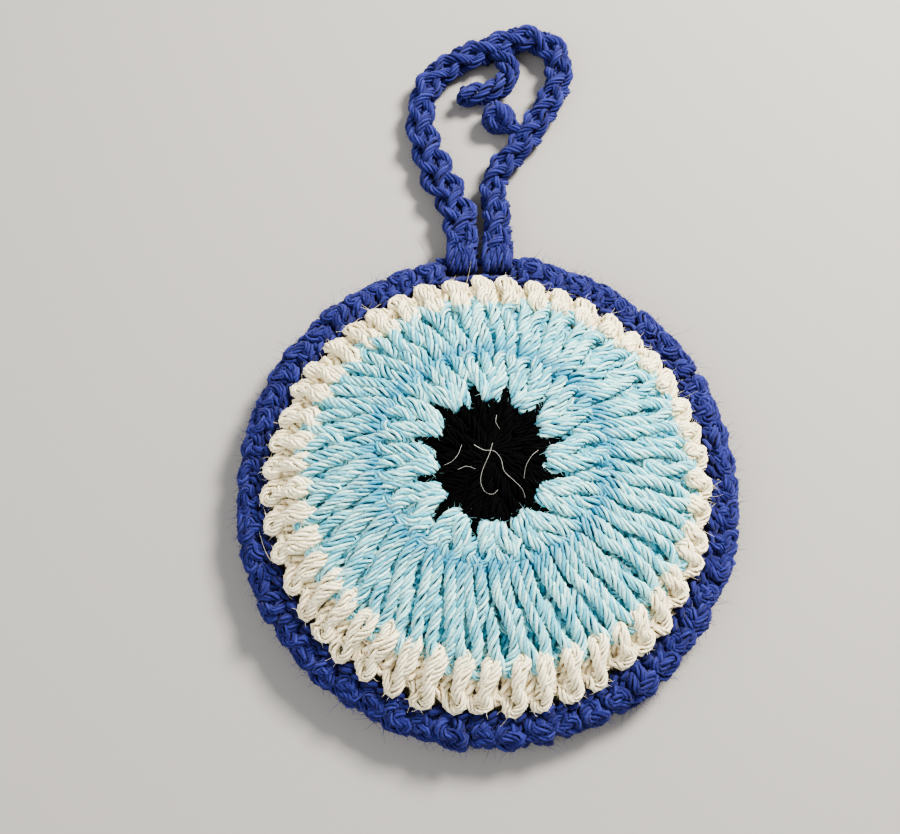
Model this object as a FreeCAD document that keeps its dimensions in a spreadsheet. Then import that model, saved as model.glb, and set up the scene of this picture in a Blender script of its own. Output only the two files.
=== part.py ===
"""Crocheted evil eye ornament: a stuffed round cushion with a hanging loop.

Two crocheted panels, front and back, lie on each other with filling between them. Each panel is
worked in rounds of yarn: a black pupil, two marled light blue iris rounds and a white round. A dark
blue border round joins the panels at the rim. A hanging loop of dark blue cord is worked through the
top of the border, with two loose yarn tails on it.

Frame, in millimetres: +Z up out of the front face, +Y towards the hanging loop. The origin is the
middle of the flat back that the ornament rests on.
"""
import math
import os

import FreeCAD
import Part
import Sketcher
from FreeCAD import Placement, Rotation, Vector

# The driving dimensions: alias, value, meaning.
DIMENSIONS = [
    ("mid_height", 5.5, "height of the seam between the two panels, at the rim"),
    ("panel_radius", 52.5, "half width of the domed cushion at the seam"),
    ("front_rise", 15.0, "rise of the domed front above the seam"),
    ("back_rise", 8.0, "depth that the back would have if the table didn't flatten it"),
    ("panel_thickness", 4.0, "thickness of one crocheted panel"),
    ("panel_side_wall", 5.0, "thickness of a panel at the rim, measured outwards"),
    ("filling_back_rise", 1.7, "depth of the filling below the seam"),
    ("pupil_radius", 12.3, "outer radius of the black pupil round"),
    ("pupil_shift_x", 0.4, "offset of the pupil from the middle of the cushion"),
    ("pupil_shift_y", 3.7, "offset of the pupil towards the loop"),
    ("iris_inner_radius", 24.0, "outer radius of the first iris round"),
    ("iris_inner_shift_x", 0.5, "offset of the first iris round"),
    ("iris_inner_shift_y", 4.8, "offset of the first iris round towards the loop"),
    ("iris_outer_radius", 40.0, "outer radius of the second iris round"),
    ("iris_outer_shift_x", 1.3, "offset of the second iris round"),
    ("iris_outer_shift_y", 1.9, "offset of the second iris round towards the loop"),
    ("white_radius", 47.4, "outer radius of the white round"),
    ("white_shift_x", 0.0, "the white round is centred on the cushion"),
    ("white_shift_y", 0.0, "the white round is centred on the cushion"),
    ("border_radius", 54.0, "outer radius of the dark blue border"),
    ("border_height", 8.4, "thickness of the border from front to back"),
    ("border_rounding", 3.2, "rounding of the border's outer edges"),
    ("pivot_reach", 52.9, "distance from the middle to the strand that holds the loop"),
    ("strand_diameter", 2.1, "the yarn strand that the loop is worked around"),
    ("strand_lug_diameter", 3.4, "border yarn at each end of that strand"),
    ("strand_lug_length", 4.0, "length of border yarn at each end of that strand"),
    ("strand_clearance", 0.05, "gap between the strand and the loop's base stitches"),
    ("notch_left", 9.2, "reach of the gap in the border, to the left"),
    ("notch_right", 6.8, "reach of the gap in the border, to the right"),
    ("notch_depth", 4.6, "distance from the strand to the inner side of that gap"),
    ("base_left_offset", -5.2, "middle of the left base stitch"),
    ("base_right_offset", 2.8, "middle of the right base stitch"),
    ("base_stitch_width", 6.6, "width of a base stitch along the strand"),
    ("base_stitch_diameter", 6.0, "outside of a base stitch around the strand"),
    ("base_stitch_reach", 4.1, "distance from the strand to where the loop's cord starts"),
    ("cord_diameter", 6.5, "thickness of the crocheted cord of the hanging loop"),
    ("tail_diameter", 4.4, "thickness of the upper loose tail"),
    ("knot_diameter", 7.0, "the knotted end of the other loose tail"),
    ("knot_neck_diameter", 4.4, "thickness of the short yarn between the cord and the knot"),
    ("knot_neck_length", 4.6, "distance from the neck's start to the middle of the knot"),
    ("knot_neck_start_x", 7.06, "start of the neck, just clear of the cord"),
    ("knot_neck_start_y", 87.95, "start of the neck, just clear of the cord"),
    ("knot_neck_direction", 146.8, "direction of the neck in degrees, from +X towards +Y"),
    ("knot_height", 3.6, "height of the knot's middle above the table"),
]

# Middle line of the hanging loop's cord, from the left base stitch round to the right one.
LOOP_ROUTE = [
    (-5.2, 57.0, 5.5),
    (-5.2, 60.8, 5.5),
    (-5.9, 64.8, 4.5),
    (-7.6, 69.4, 3.7),
    (-10.6, 75.2, 3.4),
    (-13.3, 82.0, 3.3),
    (-15.2, 89.5, 3.3),
    (-14.4, 96.8, 3.3),
    (-10.8, 102.6, 3.3),
    (-5.4, 106.4, 3.3),
    (0.2, 108.6, 3.3),
    (5.2, 111.2, 3.3),
    (10.4, 112.4, 3.3),
    (15.3, 110.6, 3.3),
    (18.2, 106.3, 3.3),
    (18.1, 101.0, 3.3),
    (15.4, 94.4, 3.3),
    (11.6, 88.0, 3.3),
    (8.2, 82.8, 3.3),
    (4.6, 78.6, 3.3),
    (2.2, 74.6, 3.3),
    (2.0, 70.2, 3.5),
    (2.8, 65.6, 4.2),
    (2.8, 60.9, 5.5),
    (2.8, 57.0, 5.5),
]

# Middle line of the upper loose tail, from the loop's cord to its free end.
TAIL_ROUTE = [
    (4.6, 106.6, 3.3),
    (6.2, 103.5, 3.3),
    (5.3, 100.0, 3.3),
    (2.2, 97.9, 3.3),
    (-1.4, 96.9, 3.3),
    (-5.0, 96.5, 3.3),
]

ROUNDS = ["pupil", "iris_inner", "iris_outer", "white"]
ALONG_X = Rotation(Vector(0, 1, 0), 90)
ALONG_MINUS_Y = Rotation(Vector(1, 0, 0), 90)
ARC_SHARE = 0.45  # share of the shorter run that a tangent arc uses up

doc = FreeCAD.newDocument("evil_eye_ornament")
sheet = doc.addObject("Spreadsheet::Sheet", "Dimensions")
nodes = []


def fill_sheet():
    """Writes the driving dimensions, their names and what they mean."""
    for row, (alias, value, meaning) in enumerate(DIMENSIONS, start=1):
        sheet.set(f"A{row}", alias)
        sheet.set(f"B{row}", str(value))
        sheet.setAlias(f"B{row}", alias)
        sheet.set(f"C{row}", meaning)
    doc.recompute()


def bound(formula):
    """Turns a formula of dimension names into an expression that reads them from the sheet."""
    for alias in sorted((row[0] for row in DIMENSIONS), key=len, reverse=True):
        formula = formula.replace(f"[{alias}]", f"{sheet.Name}.{alias}")
    return formula


def make(kind, name, rotation=None, **formulas):
    """Adds a Part primitive whose properties follow formulas; x, y and z place it."""
    item = doc.addObject(kind, name)
    if rotation is not None:
        item.Placement = Placement(Vector(), rotation)
    for key, formula in formulas.items():
        target = f"Placement.Base.{key}" if key in ("x", "y", "z") else key
        item.setExpression(target, bound(formula))
    return item


def cut(name, base, tool):
    """Takes tool away from base."""
    item = doc.addObject("Part::Cut", name)
    item.Base = base
    item.Tool = tool
    return item


def combine(kind, name, *shapes):
    """Joins or intersects several shapes."""
    item = doc.addObject(kind, name)
    item.Shapes = list(shapes)
    return item


def piece(item, label):
    """Marks an object as one physical piece of the ornament."""
    item.Label = label
    nodes.append(item)
    return item


def half_ellipsoid(name, radius, rise, upper):
    """Half of a flattened ball about the seam, above it or below it."""
    item = make("Part::Ellipsoid", name, Radius1=rise, Radius2=radius, Radius3=radius,
                z="[mid_height]")
    item.Angle1 = 0 if upper else -90
    item.Angle2 = 90 if upper else 0
    return item


def upright_cylinder(name, radius_name, shift_name=None):
    """A tall upright cylinder that cuts one round out of a panel."""
    shifts = {}
    if shift_name:
        shifts = {"x": f"[{shift_name}_shift_x]", "y": f"[{shift_name}_shift_y]"}
    return make("Part::Cylinder", name, Radius=f"[{radius_name}]",
                Height="4 * [front_rise]", z="-[front_rise]", **shifts)


def panel_rounds(side, panel):
    """Cuts a panel into its rounds, each inside the next, touching face to face."""
    inner = None
    for name in ROUNDS:
        label = f"{side}_{name}_round"
        outer = upright_cylinder(f"{label}_outer", f"{name}_radius", name)
        disc = combine("Part::MultiCommon", f"{label}_disc", panel, outer)
        piece(cut(f"{label}_ring", disc, inner) if inner else disc, label)
        inner = upright_cylinder(f"{label}_inner", f"{name}_radius", name)


def front_panel():
    """The domed front."""
    outside = half_ellipsoid("front_outside", "[panel_radius]", "[front_rise]", True)
    inside = half_ellipsoid("front_inside", "[panel_radius] - [panel_side_wall]",
                            "[front_rise] - [panel_thickness]", True)
    panel_rounds("front", cut("front_panel", outside, inside))


def back_panel():
    """The back, which the table holds flat over its middle."""
    outside = half_ellipsoid("back_outside", "[panel_radius]", "[back_rise]", False)
    above_table = make("Part::Cylinder", "above_table", Radius="[panel_radius] + 5",
                       Height="[mid_height]")
    flattened = combine("Part::MultiCommon", "back_flattened", outside, above_table)
    inside = half_ellipsoid("back_inside", "[panel_radius] - [panel_side_wall]",
                            "[filling_back_rise]", False)
    panel_rounds("back", cut("back_panel", flattened, inside))


def filling():
    """The soft fibre filling between the panels."""
    above = half_ellipsoid("filling_above", "[panel_radius] - [panel_side_wall]",
                           "[front_rise] - [panel_thickness]", True)
    below = half_ellipsoid("filling_below", "[panel_radius] - [panel_side_wall]",
                           "[filling_back_rise]", False)
    both = combine("Part::MultiFuse", "filling_both", above, below)
    rim = upright_cylinder("filling_rim", "white_radius")
    piece(combine("Part::MultiCommon", "filling_body", both, rim), "fibre_filling")


def border():
    """The border round, with a gap at the top where a bare strand holds the loop."""
    outside = make("Part::Cylinder", "border_outside", Radius="[border_radius]",
                   Height="[border_height]", z="[mid_height] - [border_height] / 2")
    doc.recompute()
    rounded = doc.addObject("Part::Fillet", "border_rounded")
    rounded.Base = outside
    radius = float(sheet.get("border_rounding"))
    rounded.Edges = [(number, radius, radius) for number, edge in enumerate(outside.Shape.Edges, 1)
                     if isinstance(edge.Curve, Part.Circle)]
    lugs = make("Part::Cylinder", "border_lugs", ALONG_X, Radius="[strand_lug_diameter] / 2",
                Height="[notch_left] + [notch_right] + 2 * [strand_lug_length]",
                x="-[notch_left] - [strand_lug_length]", y="[pivot_reach]", z="[mid_height]")
    with_lugs = combine("Part::MultiFuse", "border_with_lugs", rounded, lugs)
    ring = cut("border_ring", with_lugs, upright_cylinder("border_hole", "white_radius"))
    notch = make("Part::Box", "border_notch", Length="[notch_left] + [notch_right]",
                 Width="[border_radius]", Height="4 * [front_rise]", x="-[notch_left]",
                 y="[pivot_reach] - [notch_depth]", z="-[front_rise]")
    piece(cut("border_notched", ring, notch), "border_round")


def loop_strand():
    """The border's own yarn across the gap, which the loop's base stitches turn on."""
    strand = make("Part::Cylinder", "strand_rod", ALONG_X, Radius="[strand_diameter] / 2",
                  Height="[notch_left] + [notch_right]", x="-[notch_left]", y="[pivot_reach]",
                  z="[mid_height]")
    piece(strand, "loop_anchor_strand")


def base_stitch(side):
    """A base stitch of the loop: a wrap around the strand, with a short root for the cord."""
    middle = f"[base_{side}_offset]"
    start = f"{middle} - [base_stitch_width] / 2"
    wrap = make("Part::Cylinder", f"{side}_wrap", ALONG_X, Radius="[base_stitch_diameter] / 2",
                Height="[base_stitch_width]", x=start, y="[pivot_reach]", z="[mid_height]")
    root = make("Part::Cylinder", f"{side}_root", ALONG_MINUS_Y, Radius="[cord_diameter] / 2",
                Height="[base_stitch_reach]", x=middle,
                y="[pivot_reach] + [base_stitch_reach]", z="[mid_height]")
    hole = make("Part::Cylinder", f"{side}_hole", ALONG_X,
                Radius="[strand_diameter] / 2 + [strand_clearance]",
                Height="3 * [base_stitch_width]", x=f"{middle} - 1.5 * [base_stitch_width]",
                y="[pivot_reach]", z="[mid_height]")
    joined = combine("Part::MultiFuse", f"{side}_joined", wrap, root)
    piece(cut(f"{side}_bored", joined, hole), f"loop_base_{side}")


def rounded_path(points):
    """Straight runs joined by tangent arcs; returns the wire and the arcs' radii."""
    corners = [Vector(*point) for point in points]
    edges = []
    radii = []
    start = corners[0]
    for before, corner, after in zip(corners, corners[1:], corners[2:]):
        back = before - corner
        onward = after - corner
        turn = math.pi - back.getAngle(onward)
        setback = ARC_SHARE * min(back.Length, onward.Length)
        radius = setback / math.tan(turn / 2)
        back.normalize()
        onward.normalize()
        entry = corner + back * setback
        leave = corner + onward * setback
        bisector = (back + onward).normalize()
        middle = corner + bisector * (radius / math.cos(turn / 2) - radius)
        edges.append(Part.LineSegment(start, entry).toShape())
        edges.append(Part.Arc(entry, middle, leave).toShape())
        radii.append(radius)
        start = leave
    edges.append(Part.LineSegment(start, corners[-1]).toShape())
    return Part.Wire(edges), radii


def tube(name, label, points, diameter_name):
    """A round tube along a path of runs and arcs."""
    diameter = float(sheet.get(diameter_name))
    path, radii = rounded_path(points)
    direction = Vector(*points[1]) - Vector(*points[0])
    section = Part.Wire(Part.makeCircle(diameter / 2, Vector(*points[0]), direction))
    item = doc.addObject("Part::Feature", name)
    item.Shape = path.makePipeShell([section], True, True)
    expected = math.pi * diameter ** 2 / 4 * path.Length
    print(f"{label}: length {path.Length:.1f}, volume {item.Shape.Volume:.0f}, section times "
          f"length {expected:.0f}, radii {' '.join(f'{radius:.0f}' for radius in radii)}")
    return piece(item, label)


def knot_profile(sketch):
    """Half outline of the knotted tail, beside the sketch's upright axis: a neck, then a ball."""
    neck = float(sheet.get("knot_neck_diameter")) / 2
    ball = float(sheet.get("knot_diameter")) / 2
    middle = float(sheet.get("knot_neck_length"))
    meeting = math.acos(neck / ball)
    outline = [
        Part.LineSegment(Vector(0, 0, 0), Vector(neck, 0, 0)),
        Part.LineSegment(Vector(neck, 0, 0), Vector(neck, middle - ball * math.sin(meeting), 0)),
        Part.ArcOfCircle(Part.Circle(Vector(0, middle, 0), Vector(0, 0, 1), ball),
                         -meeting, math.pi / 2),
        Part.LineSegment(Vector(0, middle + ball, 0), Vector(0, 0, 0)),
    ]
    sketch.addGeometry(outline, False)
    base, side, arc, axis = range(len(outline))
    for first, first_end, second, second_end in (
            (base, 2, side, 1), (side, 2, arc, 1), (arc, 2, axis, 1), (axis, 2, base, 1),
            (base, 1, -1, 1)):
        sketch.addConstraint(Sketcher.Constraint("Coincident", first, first_end,
                                                 second, second_end))
    sketch.addConstraint(Sketcher.Constraint("Horizontal", base))
    sketch.addConstraint(Sketcher.Constraint("Vertical", side))
    sketch.addConstraint(Sketcher.Constraint("Vertical", axis))
    sketch.addConstraint(Sketcher.Constraint("PointOnObject", arc, 3, -2))
    for kind, where, value, formula in (
            ("DistanceX", (base, 1, base, 2), neck, "[knot_neck_diameter] / 2"),
            ("Radius", (arc,), ball, "[knot_diameter] / 2"),
            ("DistanceY", (base, 1, arc, 3), middle, "[knot_neck_length]")):
        number = sketch.addConstraint(Sketcher.Constraint(kind, *where, value))
        sketch.setExpression(f"Constraints[{number}]", bound(formula))


def knot_tail():
    """A short tail that ends in a knot, lying inside the loop."""
    body = doc.addObject("PartDesign::Body", "knot_body")
    plane = next(item for item in body.Origin.OriginFeatures if item.Role == "XY_Plane")
    sketch = body.newObject("Sketcher::SketchObject", "knot_outline")
    sketch.AttachmentSupport = [(plane, "")]
    sketch.MapMode = "FlatFace"
    knot_profile(sketch)
    turned = body.newObject("PartDesign::Revolution", "knot_turned")
    turned.Profile = sketch
    turned.ReferenceAxis = (sketch, ["V_Axis"])
    turned.Angle = 360
    direction = math.radians(float(sheet.get("knot_neck_direction")))
    outward = Vector(math.cos(direction), math.sin(direction), 0)
    body.Placement = Placement(Vector(), Rotation(Vector(0, 1, 0), outward))
    for key, alias in (("x", "knot_neck_start_x"), ("y", "knot_neck_start_y"),
                       ("z", "knot_height")):
        body.setExpression(f"Placement.Base.{key}", bound(f"[{alias}]"))
    piece(body, "loop_knot_tail")


def export_parts():
    """Stops on any failed object, then writes each piece to its own file."""
    doc.recompute()
    for item in doc.Objects:
        if "Invalid" in item.State or "Error" in item.State:
            raise RuntimeError(f"{item.Name} failed: {item.State}")
    os.makedirs("parts", exist_ok=True)
    for item in nodes:
        if item.Shape.isNull() or not item.Shape.isValid() or not item.Shape.Solids:
            raise RuntimeError(f"{item.Label} has no valid shape")
        item.Shape.exportStep(os.path.join("parts", item.Label + ".step"))


fill_sheet()
front_panel()
back_panel()
filling()
border()
loop_strand()
base_stitch("left")
base_stitch("right")
tube("loop_tube", "loop_cord", LOOP_ROUTE, "cord_diameter")
tube("tail_tube", "loop_upper_tail", TAIL_ROUTE, "tail_diameter")
knot_tail()
export_parts()
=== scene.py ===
import math
from collections import namedtuple

import bmesh
import bpy
import numpy as np
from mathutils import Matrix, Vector


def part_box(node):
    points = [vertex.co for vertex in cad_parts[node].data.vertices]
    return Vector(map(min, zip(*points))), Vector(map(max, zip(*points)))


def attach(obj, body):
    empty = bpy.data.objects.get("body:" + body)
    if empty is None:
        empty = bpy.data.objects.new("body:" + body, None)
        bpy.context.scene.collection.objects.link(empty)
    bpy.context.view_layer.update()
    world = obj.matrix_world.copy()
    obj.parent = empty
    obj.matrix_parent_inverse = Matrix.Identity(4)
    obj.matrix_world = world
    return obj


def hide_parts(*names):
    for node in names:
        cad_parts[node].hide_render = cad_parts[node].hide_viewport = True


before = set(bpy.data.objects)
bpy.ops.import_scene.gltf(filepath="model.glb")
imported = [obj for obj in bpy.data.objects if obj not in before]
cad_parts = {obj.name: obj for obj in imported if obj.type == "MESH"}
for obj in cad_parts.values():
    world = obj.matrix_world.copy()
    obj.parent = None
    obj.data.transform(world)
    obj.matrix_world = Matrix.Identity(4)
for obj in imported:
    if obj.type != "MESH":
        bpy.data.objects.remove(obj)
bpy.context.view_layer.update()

# A crocheted evil eye ornament. Worked yarn takes the place of every CAD node but the filling,
# whose place a swollen pad takes. Lengths are millimetres until a mesh is made, except where a
# comment says metres.
MM = 0.001
SEED = 20
FULL_TURN = 2 * math.pi
FRONT, BACK = 1, -1

# Yarn
YARN = 1.2             # radius of the plied yarn
TWIST = 8.5            # length over which the plies of a yarn turn once
PLIES = 6
PLY_SHARE = {1: 1.0, 3: 0.54, 6: 0.37}  # radius of a ply in a yarn of that many plies
STEP = 0.8             # distance between the rings of a ply
SIDES = 5              # sides of a ply
TABLE_GAP = 0.03       # lowest height of any yarn: it presses flat on the table
# The yarn's painted light and shade, which its tint carries into its colour:
LIT, LIT_ROUND = 0.56, 0.44     # light of a yarn's middle, and how much it changes round the yarn
LIT_OUTSIDE = 0.62     # loose fibres grow where a ply is lit more than this
MARL_BY_LIGHT = 0.5    # how much fuller the colour gets where the yarn is in shade
BLUE_MARL = (0.15, 0.55, 0.9)
PALE_MARL = (0.0, 0.9, 0.3, 1.0, 0.15, 0.7)
WHITE_MARL = (0.1, 0.6, 0.3, 0.9)

# Noise along a yarn: the length of its waves, and its spread.
THICKNESS_NOISE = (9.0, 0.06)
TURN_NOISE = (4.0, 0.2)
LOOSENESS_NOISE = (5.0, 0.10)
PLY_NOISE = (2.6, 0.08)
MARL_NOISE = (2.8, 0.34)
LIGHT_NOISE = (7.0, 0.08)
BRAID_NOISE = (6.0, 0.10)

# Loose fibres
FIBRE_RADIUS = 0.05
FIBRE_RINGS, FIBRE_SIDES = 5, 3
FIBRE_RISE, FIBRE_DRIFT = 0.5, 0.8      # how much a fibre goes outwards, and how much astray
SHORT_CURL, LONG_CURL = 0.6, 0.9
LONG_FIBRES = (2.5, 5.0)                # shortest and longest of the few long ones

# The cushion
DOME_RADIUS = 52.5     # half width of the domed cushion where its front and back would meet
BACK_RISE = 8.0        # depth that the back would have if the table didn't flatten it
STEEPEST = 0.965       # share of the dome's radius beyond which it gets no steeper
BACK_SINK = 0.75       # how much deeper the yarn of the back lies in the cushion's surface

# The loop's root
PIVOT = 52.9           # distance from the middle to the strand that the loop turns on
NOTCH = (-9.2, 6.8)    # the gap in the border, left and right of the middle
BASES = (("left", -5.2), ("right", 2.8))        # its two base stitches, across from the middle

# Middle lines of the loop's cord and of its upper loose tail, and the knotted tail, in metres.
LOOP_ROUTE = [
    (-0.0052, 0.0570, 0.0055), (-0.0052, 0.0608, 0.0055), (-0.0059, 0.0648, 0.0045),
    (-0.0076, 0.0694, 0.0037), (-0.0106, 0.0752, 0.0034), (-0.0133, 0.0820, 0.0033),
    (-0.0152, 0.0895, 0.0033), (-0.0144, 0.0968, 0.0033), (-0.0108, 0.1026, 0.0033),
    (-0.0054, 0.1064, 0.0033), (0.0002, 0.1086, 0.0033), (0.0052, 0.1112, 0.0033),
    (0.0104, 0.1124, 0.0033), (0.0153, 0.1106, 0.0033), (0.0182, 0.1063, 0.0033),
    (0.0181, 0.1010, 0.0033), (0.0154, 0.0944, 0.0033), (0.0116, 0.0880, 0.0033),
    (0.0082, 0.0828, 0.0033), (0.0046, 0.0786, 0.0033), (0.0022, 0.0746, 0.0033),
    (0.0020, 0.0702, 0.0035), (0.0028, 0.0656, 0.0042), (0.0028, 0.0609, 0.0055),
    (0.0028, 0.0570, 0.0055),
]
TAIL_ROUTE = [
    (0.0038, 0.1084, 0.0034), (0.0052, 0.1064, 0.0033), (0.0062, 0.1035, 0.0033),
    (0.0053, 0.1000, 0.0033), (0.0022, 0.0979, 0.0033), (-0.0014, 0.0969, 0.0033),
    (-0.0050, 0.0965, 0.0033),
]
KNOT_NECK = (0.0088, 0.0868, 0.0035)
KNOT_MIDDLE = (0.0032, 0.0905, 0.0036)

random = np.random.default_rng(SEED)


def box(node):
    """Lowest and highest corner of a CAD node, in millimetres."""
    low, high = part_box(node)
    return np.array(low) / MM, np.array(high) / MM


def circle(node):
    """Centre and radius of a round's outer edge, seen from above."""
    low, high = box(node)
    return (low[:2] + high[:2]) / 2, (high[0] - low[0]) / 2


BORDER_LOW, BORDER_HIGH = box("border_round")
SEAM = (BORDER_LOW[2] + BORDER_HIGH[2]) / 2
BORDER_HALF = (BORDER_HIGH[2] - BORDER_LOW[2]) / 2
BORDER_RADIUS = (BORDER_HIGH[0] - BORDER_LOW[0]) / 2
FRONT_RISE = box("front_pupil_round")[1][2] - SEAM
PUPIL = circle("front_pupil_round")
IRIS_INNER = circle("front_iris_inner_round")
IRIS_OUTER = circle("front_iris_outer_round")
WHITE = circle("front_white_round")
# The worked rounds aren't quite circles: each edge as the yarn shows it.
CORE_EDGE = (PUPIL[0], 0.8)
PUPIL_EDGE = (PUPIL[0], PUPIL[1] * np.array([1.06, 1.18]))
SEAM_EDGE = (IRIS_INNER[0], IRIS_INNER[1] * np.array([1.03, 0.97]))
IRIS_EDGE = (IRIS_OUTER[0] + (0.2, -0.9), IRIS_OUTER[1] * np.array([1.03, 0.99]))
WHITE_EDGE = (WHITE[0], WHITE[1] - 1.0)


# Meshes


def new_object(name, mesh, material, body):
    """Links a mesh as a piece that rides on a body."""
    item = bpy.data.objects.new(name, mesh)
    bpy.context.scene.collection.objects.link(item)
    mesh.materials.append(material)
    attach(item, body)
    return item


def unit(vectors):
    """Vectors at length one."""
    return vectors / np.maximum(np.linalg.norm(vectors, axis=-1, keepdims=True), 1e-9)


class Strands:
    """Collects tubes and turns them into one mesh, with a UV map along them and a tint."""

    def __init__(self):
        self.points, self.faces, self.uvs, self.tints, self.outward = [], [], [], [], []
        self.count = 0

    def add(self, rings, along, around_start, tint):
        """Rings are (tube, ring, side, 3), along is (tube, ring), tint is (tube, ring, side, 4)."""
        tubes, number, sides = rings.shape[:3]
        tube = np.arange(tubes)[:, None, None] * number * sides
        ring = np.arange(number - 1)[None, :, None] * sides
        side = np.arange(sides)[None, None, :]
        here, onward = tube + ring + side, tube + ring + (side + 1) % sides
        quads = np.stack([here, onward, onward + sides, here + sides], -1)
        self.faces.append(quads.reshape(-1, 4) + self.count)
        shape = (tubes, number - 1, sides)
        first = np.broadcast_to(along[:, :-1, None], shape)
        second = np.broadcast_to(along[:, 1:, None], shape)
        low = np.broadcast_to(side / sides + around_start, shape)
        high = low + 1 / sides
        corners = np.stack([np.stack(pair, -1) for pair in (
            (first, low), (first, high), (second, high), (second, low))], -2)
        self.uvs.append(corners.reshape(-1, 2))
        self.points.append(rings.reshape(-1, 3))
        self.outward.append(unit(rings - rings.mean(2, keepdims=True)).reshape(-1, 3))
        self.tints.append(tint.reshape(-1, 4))
        self.count += tubes * number * sides

    def mesh(self, name):
        """The collected tubes as one mesh, in metres."""
        points = np.concatenate(self.points)
        points[:, 2] = np.maximum(points[:, 2], TABLE_GAP)
        points *= MM
        faces = np.concatenate(self.faces).astype(np.int32)
        mesh = bpy.data.meshes.new(name)
        mesh.vertices.add(len(points))
        mesh.vertices.foreach_set("co", points.astype(np.float32).ravel())
        mesh.loops.add(faces.size)
        mesh.loops.foreach_set("vertex_index", faces.ravel())
        mesh.polygons.add(len(faces))
        mesh.polygons.foreach_set("loop_start", np.arange(0, faces.size, 4, dtype=np.int32))
        mesh.update(calc_edges=True)
        mesh.polygons.foreach_set("use_smooth", np.ones(len(faces), bool))
        layer = mesh.uv_layers.new(name="along")
        layer.data.foreach_set("uv", np.concatenate(self.uvs).astype(np.float32).ravel())
        tint = mesh.attributes.new("_tint", "FLOAT_COLOR", "POINT")
        tint.data.foreach_set("color", np.concatenate(self.tints).astype(np.float32).ravel())
        mesh.validate()
        return mesh


def smooth_line(points, step, closed=False):
    """A smooth line through control points, with a point every step; further columns follow."""
    points = np.asarray(points, float)
    if closed:
        padded = np.vstack([points[-1:], points, points[:2]])
    else:
        padded = np.vstack([2 * points[0] - points[1], points, 2 * points[-1] - points[-2]])
    before, start, end, after = padded[:-3], padded[1:-2], padded[2:-1], padded[3:]
    t = np.linspace(0, 1, 9)[:-1][None, :, None]
    a, b, c, d = (x[:, None, :] for x in (before, start, end, after))
    line = 0.5 * (2 * b + (c - a) * t + (2 * a - 5 * b + 4 * c - d) * t ** 2
                  + (3 * b - 3 * c + d - a) * t ** 3)
    line = np.vstack([line.reshape(-1, points.shape[1]), end[-1:]])
    gone = np.concatenate([[0], np.cumsum(np.linalg.norm(np.diff(line[:, :3], axis=0), axis=1))])
    places = np.linspace(0, gone[-1], max(4, int(round(gone[-1] / step)) + 1))
    columns = [np.interp(places, gone, line[:, k]) for k in range(line.shape[1])]
    return np.stack(columns, 1), places


def frames_along(line):
    """Two directions square to a line at each point, which turn as little as they can."""
    tangent = unit(np.gradient(line, axis=0))
    steps = [Vector(t) for t in tangent]
    normals = [steps[0].orthogonal().normalized()]
    for before, after in zip(steps, steps[1:]):
        turned = before.rotation_difference(after) @ normals[-1]
        normals.append((turned - after * turned.dot(after)).normalized())
    normal = np.array(normals)
    return normal, np.cross(tangent, normal)


def wave(places, length, spread):
    """Smooth seeded noise along a line, about -spread to spread."""
    knots = int(places[-1] / length) + 3
    return np.interp(places / length, np.arange(knots), random.normal(0, spread, knots))


def yarn(strands, points, radius=YARN, plies=PLIES, step=STEP, twist=TWIST, shade=0.0,
         marl=(0.5,), closed=False, taper=None):
    """Adds a plied yarn along control points, whose fourth column is their own shade.

    The fourth column and the shade are painted light and shade. The tint's red says how much of the
    full colour a ply has: its marl, made fuller where shade is painted. Its green is painted light:
    how lit the ply is painted, which falls towards the middle of the yarn and in the depths of a
    stitch. Its blue is a number of the ply's own, which no material reads.
    """
    line, places = smooth_line(points, step, closed)
    light = line[:, 3] if line.shape[1] > 3 else np.zeros(len(line))
    line = line[:, :3]
    normal, side = frames_along(line)
    thickness = radius * (1 + wave(places, *THICKNESS_NOISE))
    if taper is not None:
        thickness = thickness * np.interp(places / places[-1], (0, 1), taper)
    ply = thickness * PLY_SHARE[plies]
    offset = thickness - ply
    phase = random.uniform(0, FULL_TURN)
    ring = np.arange(SIDES) / SIDES * FULL_TURN
    for number in range(plies):
        turn = phase + FULL_TURN * (number / plies + places / twist) + wave(places, *TURN_NOISE)
        loose = offset * (1 + wave(places, *LOOSENESS_NOISE))
        middle = line + loose[:, None] * (np.cos(turn)[:, None] * normal
                                          + np.sin(turn)[:, None] * side)
        own = ply * (1 + wave(places, *PLY_NOISE))
        spin = turn[:, None] + ring[None, :]
        rings = middle[:, None, :] + own[:, None, None] * (
            np.cos(spin)[..., None] * normal[:, None, :]
            + np.sin(spin)[..., None] * side[:, None, :])
        tint = np.ones((1, len(places), SIDES, 4))
        level = marl[number % len(marl)] + wave(places, *MARL_NOISE) - MARL_BY_LIGHT * light
        tint[0, :, :, 0] = np.clip(level, 0, 1)[:, None]
        lit = LIT + shade + light + wave(places, *LIGHT_NOISE)
        tint[0, :, :, 1] = np.clip(lit[:, None] + LIT_ROUND * np.cos(ring)[None, :], 0, 1)
        tint[0, :, :, 2] = random.uniform(0, 1)
        strands.add(rings[None], places[None], random.uniform(0, 8), tint)


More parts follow.
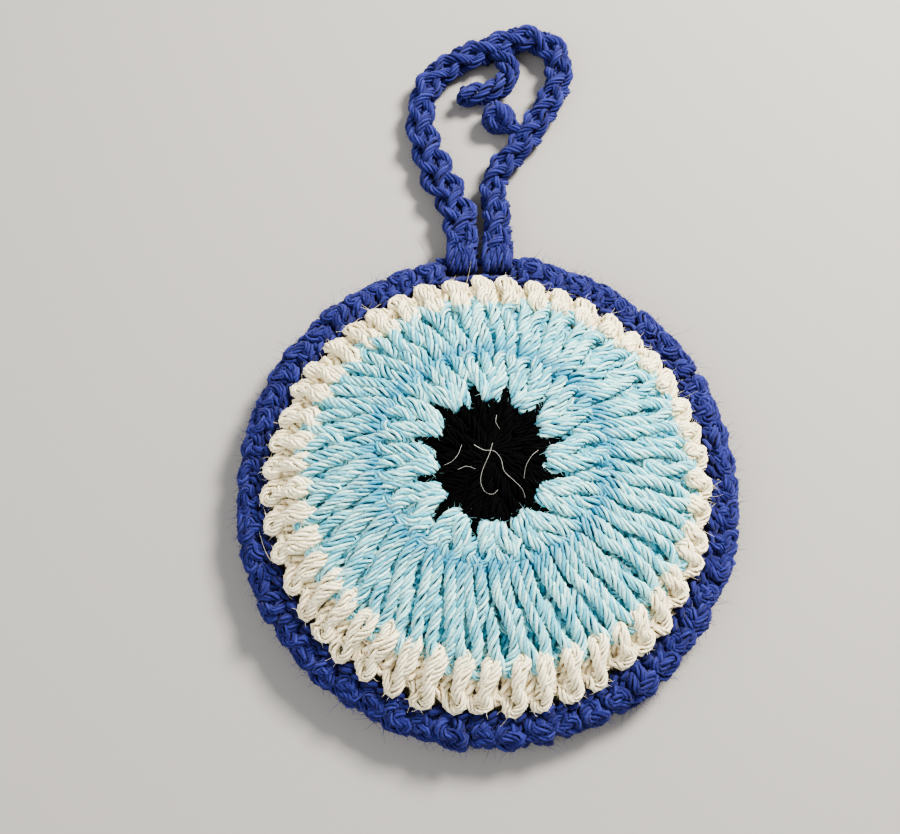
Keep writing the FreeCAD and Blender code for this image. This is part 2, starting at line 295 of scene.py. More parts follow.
def fibres(strands, starts, outward, lengths, curl, level):
    """Adds loose fibres, each a thin tapered hair that leaves the yarn at a slant."""
    number = len(starts)
    t = np.linspace(0, 1, FIBRE_RINGS)
    drift = unit(random.normal(0, 1, (number, 3)))
    along = unit(outward * FIBRE_RISE + drift * FIBRE_DRIFT)
    bend = unit(random.normal(0, 1, (number, 3))) * curl
    path = starts[:, None] + lengths[:, None, None] * (
        along[:, None] * t[None, :, None] + bend[:, None] * (t ** 2)[None, :, None])
    across = unit(np.cross(along, bend))
    other = unit(np.cross(along, across))
    angle = np.arange(FIBRE_SIDES) / FIBRE_SIDES * FULL_TURN
    size = FIBRE_RADIUS * (1 - 0.6 * t)
    tubes = path[:, :, None] + size[None, :, None, None] * (
        np.cos(angle)[:, None] * across[:, None, None] + np.sin(angle)[:, None]
        * other[:, None, None])
    tint = np.ones((number, FIBRE_RINGS, FIBRE_SIDES, 4))
    tint[..., 0] = np.clip(random.normal(level, 0.2, number), 0, 1)[:, None, None]
    tint[..., 1] = random.uniform(0.7, 1.0, number)[:, None, None]
    strands.add(tubes, lengths[:, None] * t[None, :], 0.0, tint)


def fuzz(source, name, number, length, material, body, level, long_ones=0):
    """A piece of loose fibres that grow from the outer side of a yarn's plies."""
    points = np.concatenate(source.points)
    lit = np.concatenate(source.tints)[:, 1] > LIT_OUTSIDE
    picked = random.choice(np.flatnonzero(lit), number, replace=False)
    outward = np.concatenate(source.outward)[picked]
    strands = Strands()
    lengths = length * random.lognormal(0, 0.35, number).clip(0.4, 1.8)
    fibres(strands, points[picked], outward, lengths, SHORT_CURL, level)
    if long_ones:
        fibres(strands, points[picked][:long_ones], outward[:long_ones],
               random.uniform(*LONG_FIBRES, long_ones), LONG_CURL, level)
    return new_object(name, strands.mesh(name), material, body)


# The cushion's surface


def surface(xy, side):
    """Height and outward direction of the cushion's outer surface over points seen from above."""
    share = np.minimum(np.hypot(xy[:, 0], xy[:, 1]) / DOME_RADIUS, STEEPEST)
    fall = np.sqrt(1 - share ** 2)
    radial = xy / np.maximum(np.hypot(xy[:, 0], xy[:, 1]), 1e-6)[:, None]
    rise = FRONT_RISE if side == FRONT else BACK_RISE
    slope = rise * share / (DOME_RADIUS * fall)
    height = SEAM + side * rise * fall
    if side == BACK:
        flat = height < 0
        slope = np.where(flat, 0, slope)
        height = np.where(flat, 0, height)
    direction = np.column_stack([radial * slope[:, None], np.full(len(xy), float(side))])
    return height, direction / np.linalg.norm(direction, axis=1)[:, None]


def placed(side, inner, outer, angle, share, height):
    """Points of a round: angle round it, share of the way from its inner to its outer edge.

    An edge is a centre and a radius, or a radius along each axis.
    """
    angle, share, height = (np.asarray(x, float) for x in (angle, share, height))
    out = np.column_stack([np.cos(angle), np.sin(angle)])
    start = inner[0] + inner[1] * out
    end = outer[0] + outer[1] * out
    xy = start + share[:, None] * (end - start)
    level, direction = surface(xy, side)
    if side == BACK:
        height = height - BACK_SINK
    return np.column_stack([xy, level]) + direction * height[:, None]


# Materials


def yarn_material(name, pale, full, deep, sheen, streak=0.35, specular=0.2):
    """Plied yarn: fibre streaks along each ply, marled between two colours, with painted shade."""
    material = bpy.data.materials.new(name)
    material.use_nodes = True
    nodes, links = material.node_tree.nodes, material.node_tree.links
    shader = nodes["Principled BSDF"]
    shader.inputs["Roughness"].default_value = 0.88
    shader.inputs["Sheen Weight"].default_value = sheen
    shader.inputs["Sheen Roughness"].default_value = 0.5
    shader.inputs["Specular IOR Level"].default_value = specular
    tint = nodes.new("ShaderNodeAttribute")
    tint.attribute_name = "_tint"
    parts = nodes.new("ShaderNodeSeparateColor")
    links.new(tint.outputs["Color"], parts.inputs[0])
    place = nodes.new("ShaderNodeUVMap")
    place.uv_map = "along"

    def streaks(length, around, detail):
        """Noise stretched along the ply and slanted round it."""
        mapping = nodes.new("ShaderNodeMapping")
        mapping.inputs["Scale"].default_value = (length, around, 1)
        mapping.inputs["Rotation"].default_value = (0, 0, 0.12)
        noise = nodes.new("ShaderNodeTexNoise")
        noise.noise_dimensions = "2D"
        noise.inputs["Scale"].default_value = 1.0
        noise.inputs["Detail"].default_value = detail
        noise.inputs["Roughness"].default_value = 0.6
        links.new(place.outputs[0], mapping.inputs[0])
        links.new(mapping.outputs[0], noise.inputs["Vector"])
        return noise.outputs[0]

    def math_node(kind, first, second, third=None):
        """A math node's output; its inputs are numbers or other nodes' outputs."""
        item = nodes.new("ShaderNodeMath")
        item.operation = kind
        for socket, value in zip(item.inputs, (first, second, third)):
            if value is None:
                continue
            if isinstance(value, (int, float)):
                socket.default_value = value
            else:
                links.new(value, socket)
        return item.outputs[0]

    def mixed(factor, first, second):
        """A colour mix's output."""
        item = nodes.new("ShaderNodeMix")
        item.data_type = "RGBA"
        for socket, value in ((item.inputs[0], factor), (item.inputs[6], first),
                              (item.inputs[7], second)):
            if isinstance(value, tuple):
                socket.default_value = value
            else:
                links.new(value, socket)
        return item.outputs[2]

    fine = streaks(0.9, 14.0, 3.0)
    coarse = streaks(0.35, 5.0, 2.0)
    marl = math_node("MULTIPLY_ADD", math_node("SUBTRACT", coarse, 0.5), 1.2, parts.outputs[0])
    marl = math_node("MULTIPLY_ADD", math_node("SUBTRACT", fine, 0.5), 1.1, marl)
    clamp = nodes.new("ShaderNodeClamp")
    links.new(marl, clamp.inputs[0])
    colour = mixed(clamp.outputs[0], (*pale, 1), (*full, 1))
    # Painted shade: where the tint's green is low the colour goes over to the deep colour, in
    # streaks.
    dark = math_node("MULTIPLY_ADD", math_node("SUBTRACT", fine, 0.5), 1.2 * streak, 0.95)
    dark = math_node("SUBTRACT", dark, parts.outputs[1])
    shadow = nodes.new("ShaderNodeClamp")
    links.new(dark, shadow.inputs[0])
    links.new(mixed(shadow.outputs[0], colour, (*deep, 1)), shader.inputs["Base Color"])
    height = math_node("MULTIPLY_ADD", coarse, 0.5, fine)
    relief = nodes.new("ShaderNodeBump")
    relief.inputs["Strength"].default_value = 0.6
    relief.inputs["Distance"].default_value = 0.25 * MM
    links.new(height, relief.inputs["Height"])
    links.new(relief.outputs[0], shader.inputs["Normal"])
    return material


BLACK = yarn_material("black_yarn", (0.0025, 0.0025, 0.003), (0.0012, 0.0012, 0.0014),
                      (0.0003, 0.0003, 0.0003), 0.0, specular=0.05)
LIGHT_BLUE = yarn_material("light_blue_yarn", (0.58, 0.92, 0.87), (0.10, 0.48, 0.60),
                           (0.016, 0.20, 0.34), 0.08, streak=0.6)
CREAM = yarn_material("white_yarn", (1.0, 0.95, 0.72), (1.0, 0.90, 0.63),
                      (0.60, 0.45, 0.26), 0.08)
DARK_BLUE = yarn_material("dark_blue_yarn", (0.032, 0.038, 0.22), (0.010, 0.012, 0.105),
                          (0.0016, 0.002, 0.020), 0.07, streak=0.6)
FILLING = yarn_material("filling", (0.85, 0.84, 0.80), (0.75, 0.74, 0.70),
                        (0.45, 0.44, 0.41), 0.3)


# The two panels

# One stitch of each kind: across (in stitch widths), share of the round's height, and depth.
TALL_STITCH = [
    (-0.50, 0.95, -2.9), (-0.24, 1.03, -2.1), (0.08, 1.00, -1.6), (0.26, 0.82, -1.1),
    (0.16, 0.55, -0.9), (-0.08, 0.28, -0.8), (-0.22, 0.04, -0.9), (-0.18, -0.10, -2.0),
    (0.06, -0.12, -2.6), (0.22, 0.00, -1.1), (0.30, 0.25, -1.0), (0.36, 0.50, -1.4),
    (0.20, 0.66, -2.7), (-0.18, 0.60, -2.7), (-0.40, 0.44, -1.7), (-0.40, 0.66, -1.1),
    (-0.26, 0.87, -1.1), (0.02, 1.05, -1.8), (0.32, 1.07, -2.5),
]
SHORT_STITCH = [
    (-0.50, 0.76, -2.9), (-0.30, 0.90, -2.2), (-0.16, 1.06, -2.0), (0.08, 1.08, -1.8),
    (0.18, 0.90, -1.4), (0.05, 0.64, -1.0), (-0.05, 0.36, -0.7), (-0.14, 0.02, -0.5),
    (-0.15, -0.26, -0.8), (0.01, -0.42, -1.5), (0.17, -0.26, -0.8), (0.18, 0.04, -0.5),
    (0.11, 0.38, -0.8), (0.04, 0.64, -1.5), (-0.04, 0.84, -2.2), (0.24, 0.82, -2.8),
]

# A round of a panel. Sink is how deep it lies, dim the share of its height where its yarn has
# the most painted shade (painted shade at the seam of two rounds), and lining the shares of its
# height that its lining spans.
# The stitches of a paired round lean together in twos.
Round = namedtuple("Round", "label stitch count inner outer radius marl material slot_name lining "
                            "fibres level sink dim long_fibres paired",
                   defaults=(0.0, None, 0, False))
ROUNDS = [
    Round(label="pupil", stitch=TALL_STITCH, count=12, inner=CORE_EDGE, outer=PUPIL_EDGE,
          radius=YARN, marl=(0.5,), material=BLACK, slot_name="black_yarn", lining=(0.02, 1.2),
          fibres=900, level=0.1, sink=0.7),
    Round(label="iris_inner", stitch=TALL_STITCH, count=24, inner=PUPIL_EDGE, outer=SEAM_EDGE,
          radius=1.32, marl=PALE_MARL, material=LIGHT_BLUE, slot_name="light_blue_yarn",
          lining=(0.3, 0.98), fibres=2600, level=0.45, dim=1.04, paired=True),
    Round(label="iris_outer", stitch=TALL_STITCH, count=36, inner=SEAM_EDGE, outer=IRIS_EDGE,
          radius=1.32, marl=PALE_MARL, material=LIGHT_BLUE, slot_name="light_blue_yarn",
          lining=(0.02, 0.88), fibres=5000, level=0.45, dim=-0.06),
    Round(label="white", stitch=SHORT_STITCH, count=47, inner=IRIS_EDGE, outer=WHITE_EDGE,
          radius=1.25, marl=WHITE_MARL, material=CREAM, slot_name="white_yarn",
          lining=(0.02, 0.8), fibres=4500, level=0.4, long_fibres=40),
]
ROUND_STEP = 0.9               # distance between the rings of a ply in a round
START = {FRONT: 0.40, BACK: 1.30}       # angle of each panel's first stitch
STITCH_WIDTH = 1.04
JITTER = 0.05                  # unevenness of the stitches, in stitch widths
SHARE_JITTER = (0.012, 0.02)   # the same in shares of the round's height: a point's, a stitch's
DEPTH_JITTER = 0.12
GATHER = 0.42                  # how far two stitches of a pair lean together at their feet
LEG_REACH, LEG_SWING = 0.56, 0.30       # short stitches: mean length of the legs, and its change
SHORTEST_LEG = 0.5             # angle at which the short stitches have their shortest legs
LEGS, LOBE = 0.1, 0.8          # shares of a short stitch below and above which those two begin
LOBE_LENGTH = (0.9, 1.4)
# Painted shade by depth: a stitch's yarn is painted darker the deeper it lies.
LIGHT_BY_DEPTH, LIT_DEPTH = 0.14, 1.3
# Painted shade at the seam of two rounds: how much darker, and over what share of the height.
DIMMING, DIM_REACH = 0.85, 0.26
FUZZ_LENGTH = 1.1


def uneven_length(share, angle):
    """A short stitch's shares with its legs as long as they are at an angle, and its own lobe."""
    reach = LEG_REACH - LEG_SWING * math.cos(angle - SHORTEST_LEG)
    share = np.where(share < LEGS, LEGS + (share - LEGS) * reach, share)
    lobe = random.uniform(*LOBE_LENGTH)
    return np.where(share > LOBE, LOBE + (share - LOBE) * lobe, share)


def worked_round(kind, side):
    """Control points of one round of stitches, with their shade."""
    rows = np.array(kind.stitch)
    pitch = FULL_TURN / kind.count
    points = []
    for number in range(kind.count):
        across = rows[:, 0] * STITCH_WIDTH
        share, depth = rows[:, 1].copy(), rows[:, 2].copy()
        if kind.stitch is SHORT_STITCH:
            share = uneven_length(share, START[side] + pitch * number)
        if kind.paired:
            partner = 0.5 if number % 2 == 0 else -0.5
            gather = GATHER * np.clip(1 - share / 0.5, 0, 1.05)
            across = across + (partner - across) * gather
        lean = random.normal(0, JITTER, 2)
        across = across + lean[0] + lean[1] * share + random.normal(0, JITTER, len(rows))
        share = share + random.normal(0, SHARE_JITTER[0], len(rows))
        share = share + random.normal(0, SHARE_JITTER[1])
        depth = depth + random.normal(0, DEPTH_JITTER, len(rows)) - kind.sink
        angle = START[side] + pitch * (number + across)
        place = placed(side, kind.inner, kind.outer, angle, share, depth)
        light = LIGHT_BY_DEPTH * (rows[:, 2] + LIT_DEPTH)
        if kind.dim is not None:
            light = light - DIMMING * np.clip(1 - np.abs(share - kind.dim) / DIM_REACH, 0, 1)
        points.append(np.column_stack([place, light]))
    return np.vstack(points)


def lining(strands, kind, side):
    """Strands below the stitches, which close the gaps between them."""
    spacing, depth = 2.6, -2.7
    start, reach = kind.lining
    count = int(FULL_TURN * np.max(kind.outer[1]) / spacing)
    angle = np.repeat(np.arange(count) / count * FULL_TURN, 2)
    share = np.tile([start, reach, reach, start], count // 2 + 1)[:len(angle)]
    depths = depth + random.normal(0, 0.2, len(angle))
    yarn(strands, placed(side, kind.inner, kind.outer, angle, share, depths), radius=1.45,
         plies=3, step=1.5, shade=-0.2, marl=(0.8, 0.5, 1.0))


def spikes(strands, side):
    """Legs of the pupil round that show between the pairs of stitches around it."""
    count, mean_length = 12, 1.19
    first = START[side] - math.pi / 24
    half_width = np.array([0.10, 0.075, 0.04, 0.0])
    depth = np.array([-1.9, -1.7, -1.5, -1.8])
    for number in range(count):
        angle = first + FULL_TURN * (number / count) + random.normal(0, 0.03)
        length = mean_length + random.normal(0, 0.05)
        share = np.array([0.55, 0.80, 0.98, length])
        lean = np.array([0, 0, 0.02, 0.04]) * random.normal(0, 1)
        for away in (-1, 1):
            turn = angle + lean + away * half_width
            yarn(strands, placed(side, (PUPIL[0], 0.0), PUPIL_EDGE, turn, share, depth),
                 radius=1.1, shade=-0.1, taper=(1.0, 0.45))


def panel(side, name):
    """The four rounds of a panel, each a continuous yarn."""
    for kind in ROUNDS:
        strands = Strands()
        yarn(strands, worked_round(kind, side), radius=kind.radius, step=ROUND_STEP,
             marl=kind.marl, closed=True)
        if kind.label == "pupil":
            spikes(strands, side)
        lining(strands, kind, side)
        node = f"{name}_{kind.label}_round"
        piece = new_object(f"{node}_yarn", strands.mesh(node), kind.material, "disc")
        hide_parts(node)
        fuzz(strands, f"{node}_fuzz", kind.fibres, FUZZ_LENGTH, kind.material, "disc",
             kind.level, kind.long_fibres)


# Routes of the stray fibres, from the middle of the pupil.
STRAYS = [
    [(0.3, 3.0), (-0.4, 0.5), (-1.7, -2.5), (-2.2, -5.0), (-1.4, -7.2), (0.2, -7.8), (1.3, -6.8)],
    [(-3.5, 2.6), (-1.5, 1.4), (0.6, 1.3), (2.0, -0.4), (2.6, -3.0), (4.6, -5.0), (6.2, -6.6),
     (6.8, -8.4)],
    [(-6.0, 2.6), (-6.8, 0.4), (-8.2, -1.0), (-9.6, -1.6)],
    [(-6.8, -2.6), (-5.0, -2.0), (-3.2, -2.5)],
    [(9.6, 1.5), (8.2, 0.2), (7.0, -2.0), (6.6, -4.4)],
    [(1.2, 9.0), (1.0, 7.4), (1.8, 6.0)],
]


def strays():
    """A few long pale fibres of the filling that have worked through and lie on the pupil."""
    strands = Strands()
    for route in STRAYS:
        xy = PUPIL[0] + np.array(route)
        level, direction = surface(xy, FRONT)
        lift = 0.1 + 0.25 * np.sin(np.arange(len(route)) * 1.7)
        points = np.column_stack([xy, level]) + direction * lift[:, None]
        yarn(strands, points, radius=0.045, plies=1, step=0.4, shade=-0.5, taper=(1.0, 0.6))
    new_object("pupil_stray_fibres", strands.mesh("strays"), FILLING, "disc")


panel(FRONT, "front")
strays()
panel(BACK, "back")


# The border

# One stitch of the border: across (in stitch widths), degrees round its section, and inset.
BORDER_STITCH = [
    (-0.50, 30, 1.7), (-0.15, 18, 1.2), (0.20, 24, 1.1), (0.44, 48, 1.1), (0.36, 70, 1.2),
    (0.10, 70, 1.1), (-0.22, 62, 1.1), (-0.32, 90, 1.3), (-0.22, 122, 1.4), (-0.05, 150, 1.9),
    (0.10, 125, 1.5), (0.12, 92, 1.3), (0.08, 55, 1.9), (0.05, 5, 1.3), (0.00, -40, 1.1),
    (-0.15, -80, 1.1), (-0.10, -120, 1.3), (0.05, -150, 1.9), (0.20, -110, 1.3),
    (0.22, -60, 1.1), (0.30, -15, 1.2),
]
BORDER_STITCHES = 52
BORDER_INNER = 46.4            # inner radius of the border
ROOT_RADIUS = 49.4             # outer radius of the thin band that it shrinks to at the loop
INNER_LIFT = 1.4               # how much its inner upper side rises towards the white round
BORDER_JITTER = 0.07           # unevenness of its stitches, in stitch widths
AROUND_JITTER = 8              # the same in degrees round its section
INSET_JITTER = (0.18, 0.25)    # the same in inset: a point's, a stitch's
# Painted shade by inset: the border's yarn is painted darker the deeper it lies in its section.
BORDER_LIT_INSET = 1.35        # inset at which its yarn is neither lighter nor darker
WINDING_TURNS, WINDING_INSET = 132, 2.0
COLLAR_TURNS, COLLAR_RADIUS, COLLAR_HEIGHT, COLLAR_SIZE = 104, 46.9, 3.1, 0.7


def full_share(angle):
    """How much of the border's width there is: none where the loop is rooted, else all of it."""
    x = -np.sin(angle) * PIVOT
    beside = np.maximum(NOTCH[0] - x, x - NOTCH[1])
    return np.where(np.cos(angle) > 0, np.clip(beside / 0.8 + 0.5, 0, 1), 1.0)


def border_points(angle, around, inset):
    """Points of the border: angle round the cushion, around its section, inset from outside.

    Where the loop is rooted the border shrinks to a thin band inside the strand that holds it.
    """
    high = ROOT_RADIUS + (BORDER_RADIUS - ROOT_RADIUS) * full_share(angle)
    half = (high - BORDER_INNER) / 2
    width = np.maximum(half - inset, 0.25)
    radius = BORDER_INNER + half + np.cos(around) * width
    height = SEAM + np.sin(around) * (BORDER_HALF - inset)
    height = height + INNER_LIFT * np.clip(-np.cos(around), 0, 1) * (np.sin(around) > 0)
    return np.column_stack([-radius * np.sin(angle), radius * np.cos(angle), height])


def border_winding():
    """A close winding under the border's stitches, and a thinner one beside the white round."""
    strands = Strands()
    angle = np.linspace(0, FULL_TURN, WINDING_TURNS * 8, endpoint=False)
    inset = WINDING_INSET + random.normal(0, 0.12, len(angle))
    points = np.column_stack([border_points(angle, angle * WINDING_TURNS, inset),
                              np.full(len(angle), -0.12)])
    yarn(strands, points, radius=1.25, plies=3, step=ROUND_STEP, shade=-0.1, marl=BLUE_MARL,
         closed=True)
    # The thinner winding closes the gap between the border and the white round's lobes.
    angle = np.linspace(0, FULL_TURN, COLLAR_TURNS * 6, endpoint=False)
    radius = (COLLAR_RADIUS + 0.5 * full_share(angle)
              + COLLAR_SIZE * np.cos(angle * COLLAR_TURNS))
    height = SEAM + COLLAR_HEIGHT + COLLAR_SIZE * np.sin(angle * COLLAR_TURNS)
    points = np.column_stack([-radius * np.sin(angle), radius * np.cos(angle), height,
                              np.full(len(angle), -0.1)])
    yarn(strands, points, radius=1.2, plies=3, step=ROUND_STEP, shade=-0.1, marl=BLUE_MARL,
         closed=True)
    new_object("border_winding", strands.mesh("border_winding"), DARK_BLUE, "disc")


def border():
    """A round of short stitches that wraps the rim, from one side of the loop to the other."""
    strands = Strands()
    rows = np.array(BORDER_STITCH)
    first = math.asin(-NOTCH[0] / PIVOT) + 0.01
    last = FULL_TURN - math.asin(NOTCH[1] / PIVOT) - 0.01
    pitch = (last - first) / BORDER_STITCHES
    points = []
    for number in range(BORDER_STITCHES):
        across = rows[:, 0] + random.normal(0, BORDER_JITTER, len(rows))
        around = rows[:, 1] + random.normal(0, AROUND_JITTER, len(rows))
        around = np.radians(around + random.normal(0, AROUND_JITTER))
        inset = rows[:, 2] + random.normal(0, INSET_JITTER[0], len(rows))
        inset = inset + random.normal(0, INSET_JITTER[1])
        place = border_points(first + pitch * (number + 0.5 + across), around, inset)
        light = LIGHT_BY_DEPTH * (BORDER_LIT_INSET - rows[:, 2])
        points.append(np.column_stack([place, light]))
    yarn(strands, np.vstack(points), radius=YARN, marl=BLUE_MARL)
    piece = new_object("border_yarn", strands.mesh("border"), DARK_BLUE, "disc")
    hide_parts("border_round")
    fuzz(strands, "border_fuzz", 7800, 1.5, DARK_BLUE, "disc", 0.2,
         long_ones=120)


border_winding()
border()


# The hanging loop

THIRD = FULL_TURN / 3
ROUND_BRAID = [(sense, (0.25 - 0.25 * sense) * THIRD + number * THIRD)
               for sense in (1, -1) for number in range(3)]
BRAID_STEP, BRAID_TWIST = 0.55, 8.0
CORD_WIDTH = ((0, 6, 20, 36, 200), (1.2, 1.5, 1.55, 1.12, 1.05))   # places, and width there
LOOP_FUZZ_LEVEL = 0.25
WRAPS, WRAP_SPACING, WRAP_RADIUS = (-1.5, -0.5, 0.5, 1.5), 1.6, 2.05
KNOT_TURNS = 6


def route_line(route):
    """Points of the smooth line of a route, read from its NURBS spline, in metres."""
    curve = bpy.data.curves.new("route", "CURVE")
    curve.dimensions = "3D"
    spline = curve.splines.new("NURBS")
    spline.points.add(len(route) - 1)
    for point, place in zip(spline.points, route):
        point.co = (*place, 1)
    spline.order_u = 3
    spline.use_endpoint_u = True
    spline.resolution_u = 8
    item = bpy.data.objects.new("route", curve)
    mesh = bpy.data.meshes.new_from_object(item)
    line = np.array([tuple(vertex.co) for vertex in mesh.vertices])
    bpy.data.meshes.remove(mesh)
    bpy.data.objects.remove(item)
    bpy.data.curves.remove(curve)
    return line


def braided(strands, line, courses, reach, weave, pitch, radius, width=None):
    """Yarns that weave along a line that lies flat; courses holds each one's sense and start."""
    middle, places = smooth_line(line / MM, 1.0)
    tangent = unit(np.gradient(middle, axis=0))
    across = unit(np.cross(tangent, (0.0, 0.0, 1.0)))
    up = np.cross(across, tangent)
    wide = np.ones(len(places)) if width is None else np.interp(places, *width)
    phase = random.uniform(0, FULL_TURN)
    for sense, start in courses:
        turn = phase + sense * FULL_TURN * places / pitch + start
        out = reach + sense * weave * np.sin(len(courses) * math.pi * places / pitch)
        out = out + wave(places, *BRAID_NOISE)
        points = middle + (out * wide * np.cos(turn))[:, None] * across + (
            out * np.sin(turn))[:, None] * up
        shade = 0.10 * (out - reach)
        yarn(strands, np.column_stack([points, shade]), radius=radius, marl=BLUE_MARL,
             step=BRAID_STEP, twist=BRAID_TWIST)


def ring_of(middle, first, second, size, number=10):
    """Points of a closed turn of yarn about a middle, in millimetres."""
    turn = np.arange(number) / number * FULL_TURN
    return middle + size * (np.cos(turn)[:, None] * first + np.sin(turn)[:, None] * second)


def loop_piece(name, strands, mesh_name, body, node):
    """A dark blue piece of worked yarn that stands for a CAD node."""
    piece = new_object(name, strands.mesh(mesh_name), DARK_BLUE, body)
    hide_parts(node)
    return piece


def loop_fuzz(name, strands, number, length, body):
    """The loose fibres of a piece of the loop."""
    return fuzz(strands, name, number, length, DARK_BLUE, body,
                LOOP_FUZZ_LEVEL)


def loop_cord(line):
    """The loop's cord: six yarns that weave round a core."""
    strands = Strands()
    braided(strands, line, ROUND_BRAID, 1.8, 0.5, 21.0, 1.15, width=CORD_WIDTH)
    yarn(strands, line[::4] / MM, radius=1.3, shade=-0.4, marl=(0.6,))
    cord = loop_piece("loop_cord_yarn", strands, "loop_cord", "loop", "loop_cord")
    return cord, loop_fuzz("loop_cord_fuzz", strands, 3600, 0.9, "loop")


def loop_base(side, middle):
    """A base stitch: wraps about the border's strand that run out into the cord's braid."""
    strands = Strands()
    turn = np.radians([90, 135, 180, 225, 270])
    y = np.concatenate([[5.4, 3.2, 1.4], WRAP_RADIUS * np.cos(turn), [1.4, 3.2, 5.4]])
    z = np.concatenate([[0.6, 1.2, 1.9], WRAP_RADIUS * np.sin(turn), [-1.9, -1.2, -0.6]])
    slant = np.linspace(-1, 1, len(y))
    pull = np.abs(slant) ** 2
    for number in WRAPS:
        x = middle + number * WRAP_SPACING + 0.6 * slant - 0.3 * number * pull
        yarn(strands, np.column_stack([x, PIVOT + y, SEAM + z]), radius=1.0, marl=BLUE_MARL)
    steps = np.array([0.4, 2.0, 4.0, 6.5])
    neck = np.column_stack([np.full(4, middle), PIVOT + steps, np.full(4, SEAM)])
    braided(strands, neck * MM, ROUND_BRAID, 1.7, 0.5, 15.0, 1.1, width=((0, 6), (1.35, 1.2)))
    root = loop_piece(f"loop_base_{side}_yarn", strands, "base", "loop", f"loop_base_{side}")
    return root, loop_fuzz(f"loop_base_{side}_fuzz", strands, 500, 0.9, "loop")


def upper_tail():
    """The upper loose tail, three yarns that twist together, with a small turn at its end."""
    strands = Strands()
    braided(strands, route_line(TAIL_ROUTE), ((1, 0.0), (1, THIRD), (1, 2 * THIRD)), 1.6, 0.0,
            12.0, 1.25)
    end = np.array(TAIL_ROUTE[-1]) / MM
    yarn(strands, ring_of(end + (0.4, 0.0, 0), np.array([0.7, 0.6, 0]), np.array([0, 0.2, 1.0]),
                          1.5, 7), radius=1.1, closed=True, marl=BLUE_MARL)
    tail = loop_piece("upper_tail_yarn", strands, "tail", "upper_tail", "loop_upper_tail")
    return tail, loop_fuzz("upper_tail_fuzz", strands, 500, 0.8, "upper_tail")


def knot_tail():
    """The knotted tail: a neck of two yarns, and turns of yarn about the knot's middle."""
    strands = Strands()
    start, middle = np.array(KNOT_NECK) / MM, np.array(KNOT_MIDDLE) / MM
    braided(strands, np.array([KNOT_NECK, (start * 0.6 + middle * 0.4) * MM, KNOT_MIDDLE]),
            ((1, 0.0), (1, math.pi)), 1.0, 0.0, 9.0, 1.1)
    for _ in range(KNOT_TURNS):
        axis = unit(random.normal(0, 1, 3))
        first = unit(np.cross(axis, (0.3, 0.5, 0.8)))
        shift = middle + random.normal(0, 0.35, 3) * (1, 1, 0)
        yarn(strands, ring_of(shift, first, np.cross(axis, first), random.uniform(2.2, 2.55)),
             radius=1.3, closed=True, marl=BLUE_MARL)
    knot = loop_piece("knot_tail_yarn", strands, "knot", "knot_tail", "loop_knot_tail")
    return knot, loop_fuzz("knot_tail_fuzz", strands, 500, 0.8, "knot_tail")


def anchor():
    """The border's own yarn that the loop's base stitches turn on."""
    strands = Strands()
    ends = [(x, PIVOT, SEAM) for x in np.linspace(NOTCH[0] - 2, NOTCH[1] + 2, 6)]
    yarn(strands, ends, radius=1.0, marl=BLUE_MARL)
    loop_piece("loop_anchor_yarn", strands, "anchor", "disc", "loop_anchor_strand")


def loop():
    """The hanging loop: its cord, the stitches that root it and the two loose tails."""
    line = route_line(LOOP_ROUTE)
    cord, cord_fuzz = loop_cord(line)
    for side, middle in BASES:
        loop_base(side, middle)
    tail, tail_fuzz = upper_tail()
    knot, knot_fuzz = knot_tail()
    anchor()


loop()


# The filling

FILLING_INSET, FILLING_TOP_INSET, FILLING_BOTTOM_INSET = 3.0, 1.6, 0.4
VOXEL = 2.5
PRESSURE = 4.0
CLOTH_FRAMES = 20
MOST_SWELL = 0.8               # cap on how far the cloth simulation may move a point


def apply_modifiers(item):
    """Replaces an object's mesh by what its modifiers make of it."""
    graph = bpy.context.evaluated_depsgraph_get()
    mesh = bpy.data.meshes.new_from_object(item.evaluated_get(graph))
    item.modifiers.clear()
    item.data = mesh


def swell(piece):
    """Swells a closed mesh by cloth pressure, with no gravity, and applies the result."""
    start = np.array([tuple(v.co) for v in piece.data.vertices])
    cloth = piece.modifiers.new("cloth", "CLOTH")
    cloth.settings.use_pressure = True
    cloth.settings.uniform_pressure_force = PRESSURE
    cloth.settings.effector_weights.gravity = 0.0
    scene = bpy.context.scene
    for number in range(1, CLOTH_FRAMES + 1):
        scene.frame_set(number)
    apply_modifiers(piece)
    scene.frame_set(1)
    moved = np.array([tuple(v.co) for v in piece.data.vertices]) - start
    far = np.linalg.norm(moved, axis=1, keepdims=True)
    moved *= np.minimum(1, MOST_SWELL * MM / np.maximum(far, 1e-9))
    for vertex, place in zip(piece.data.vertices, start + moved):
        vertex.co = place


def filling():
    """The fibre filling, swollen against the panels by a short cloth simulation."""
    low, high = box("fibre_filling")
    middle = np.array([(low[0] + high[0]) / 2, (low[1] + high[1]) / 2, SEAM])
    mesh = bpy.data.meshes.new("filling")
    shape = bmesh.new()
    bmesh.ops.create_icosphere(shape, subdivisions=5, radius=1.0)
    for vertex in shape.verts:
        if vertex.co.z > 0:
            rise = high[2] - SEAM - FILLING_TOP_INSET
        else:
            rise = SEAM - low[2] - FILLING_BOTTOM_INSET
        vertex.co = Vector((vertex.co.x * (high[0] - middle[0] - FILLING_INSET) + middle[0],
                            vertex.co.y * (high[1] - middle[1] - FILLING_INSET) + middle[1],
                            vertex.co.z * rise + SEAM)) * MM
    shape.to_mesh(mesh)
    shape.free()
    piece = new_object("fibre_filling_pad", mesh, FILLING, "disc")
    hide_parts("fibre_filling")
    remesh = piece.modifiers.new("remesh", "REMESH")
    remesh.mode = "VOXEL"
    remesh.voxel_size = VOXEL * MM
    apply_modifiers(piece)
    swell(piece)
    for polygon in piece.data.polygons:
        polygon.use_smooth = True


filling()


# The stage, in metres

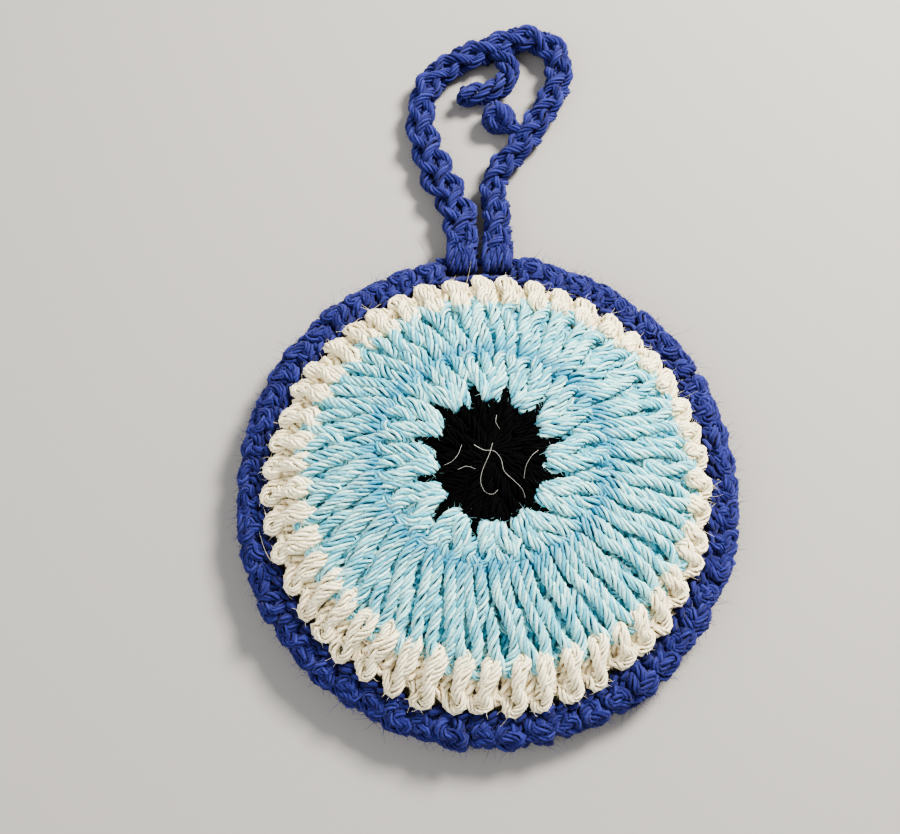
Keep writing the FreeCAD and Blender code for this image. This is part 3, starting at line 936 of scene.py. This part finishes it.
FLOOR_HALF = 1.5
FLOOR_COLOUR = (0.30, 0.29, 0.28, 1)
WORLD_COLOUR, WORLD_STRENGTH = (1.0, 0.98, 0.95, 1), 0.62
LENS, SENSOR_WIDTH = 50, 36
CAMERA_TILT, CAMERA_DISTANCE = math.radians(16.24), 0.2719
CAMERA_AIM = (-0.0080, 0.0164, 0.0060)


def floor():
    """A pale floor, which isn't part of the object."""
    half = FLOOR_HALF
    mesh = bpy.data.meshes.new("floor")
    mesh.from_pydata([(-half, -half, 0), (half, -half, 0), (half, half, 0), (-half, half, 0)],
                     [], [(0, 1, 2, 3)])
    item = bpy.data.objects.new("floor", mesh)
    bpy.context.scene.collection.objects.link(item)
    material = bpy.data.materials.new("floor")
    material.use_nodes = True
    shader = material.node_tree.nodes["Principled BSDF"]
    shader.inputs["Base Color"].default_value = FLOOR_COLOUR
    shader.inputs["Roughness"].default_value = 0.9
    mesh.materials.append(material)


def lamp(name, place, size, power, colour):
    """An area lamp that shines on the ornament."""
    aim = Vector((0, 0.02, 0))
    light = bpy.data.lights.new(name, "AREA")
    light.size = size
    light.energy = power
    light.color = colour
    item = bpy.data.objects.new(name, light)
    item.location = place
    item.rotation_euler = (aim - Vector(place)).to_track_quat("-Z", "Y").to_euler()
    bpy.context.scene.collection.objects.link(item)


def sky():
    """Even light from all round, and the view's contrast."""
    bpy.context.scene.view_settings.look = "AgX - Medium High Contrast"
    world = bpy.data.worlds.new("studio")
    world.use_nodes = True
    world.node_tree.nodes["Background"].inputs[0].default_value = WORLD_COLOUR
    world.node_tree.nodes["Background"].inputs[1].default_value = WORLD_STRENGTH
    bpy.context.scene.world = world


def camera():
    """The camera, which looks down at the ornament from above and a little in front."""
    data = bpy.data.cameras.new("camera")
    data.lens = LENS
    data.sensor_width = SENSOR_WIDTH
    item = bpy.data.objects.new("camera", data)
    away = Vector((0, -math.sin(CAMERA_TILT), math.cos(CAMERA_TILT)))
    item.location = Vector(CAMERA_AIM) + CAMERA_DISTANCE * away
    item.rotation_euler = (CAMERA_TILT, 0, 0)
    bpy.context.scene.collection.objects.link(item)
    bpy.context.scene.camera = item


floor()
lamp("key", (0.30, 0.32, 0.42), 0.16, 11.4, (1.0, 0.96, 0.88))
lamp("fill", (-0.45, -0.25, 0.5), 0.6, 3.4, (0.96, 0.97, 1.0))
sky()
camera()
